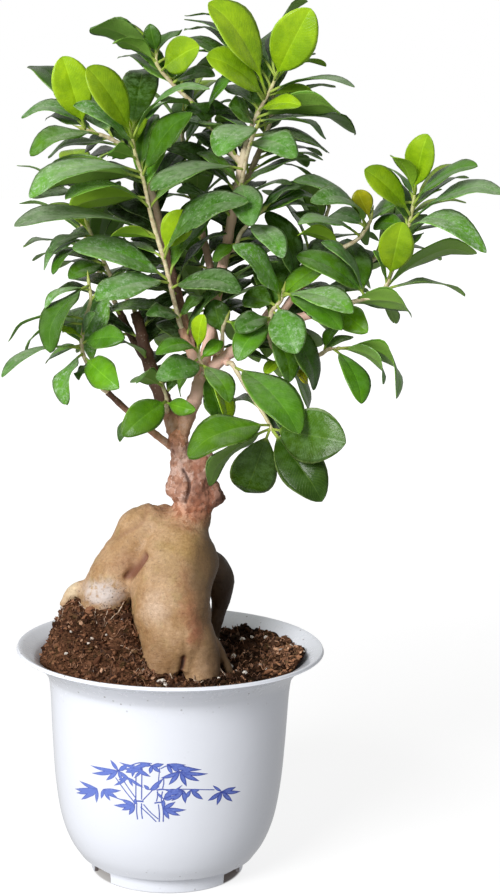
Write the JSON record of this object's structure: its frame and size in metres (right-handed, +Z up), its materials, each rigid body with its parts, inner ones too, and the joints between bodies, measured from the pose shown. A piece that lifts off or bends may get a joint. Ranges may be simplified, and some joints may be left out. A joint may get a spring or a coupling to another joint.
{
  "type": "potted ficus bonsai",
  "caption": "Ficus bonsai with a swollen leg-like root-stem and leafy shoots, standing in potting mix in a flared white plastic pot.",
  "frame": {"origin": "on the pot's axis, in the plane that the pot stands on", "axes": "+Z up, +X to the right as the plant is seen from the front, and the front looks along +Y"},
  "size_m": [0.2439, 0.1774, 0.453],
  "materials": {
    "pot_plastic": "glossy white with a blue printed bamboo sprig",
    "potting_mix": "loose dark peat and bark crumbs with white grains",
    "bark": "smooth tan root skin, knobby red-brown graft and twigs",
    "leaf": "leathery and half glossy, some with a pale film"
  },
  "bodies": {
    "root": {"pot": "pot_plastic", "soil": "potting_mix", "trunk": "bark", "shoot_top": "leaf", "shoot_crown_front": "leaf", "shoot_crown_left": "leaf", "shoot_left_top": "leaf", "shoot_left_side": "leaf", "shoot_left_low": "leaf", "shoot_low_left": "leaf", "shoot_low_mid": "leaf", "shoot_mid": "leaf", "shoot_right_front": "leaf", "shoot_fork_low": "leaf", "shoot_bud_low": "leaf", "shoot_right_end": "leaf", "shoot_right_low": "leaf", "shoot_right_up": "leaf", "shoot_mid_up": "leaf", "shoot_left_up": "leaf", "shoot_back_left": "leaf", "shoot_back_mid": "leaf", "shoot_back_right": "leaf", "shoot_back_low": "leaf", "shoot_back_top": "leaf", "shoot_back_end": "leaf"}
  },
  "joints": []
}
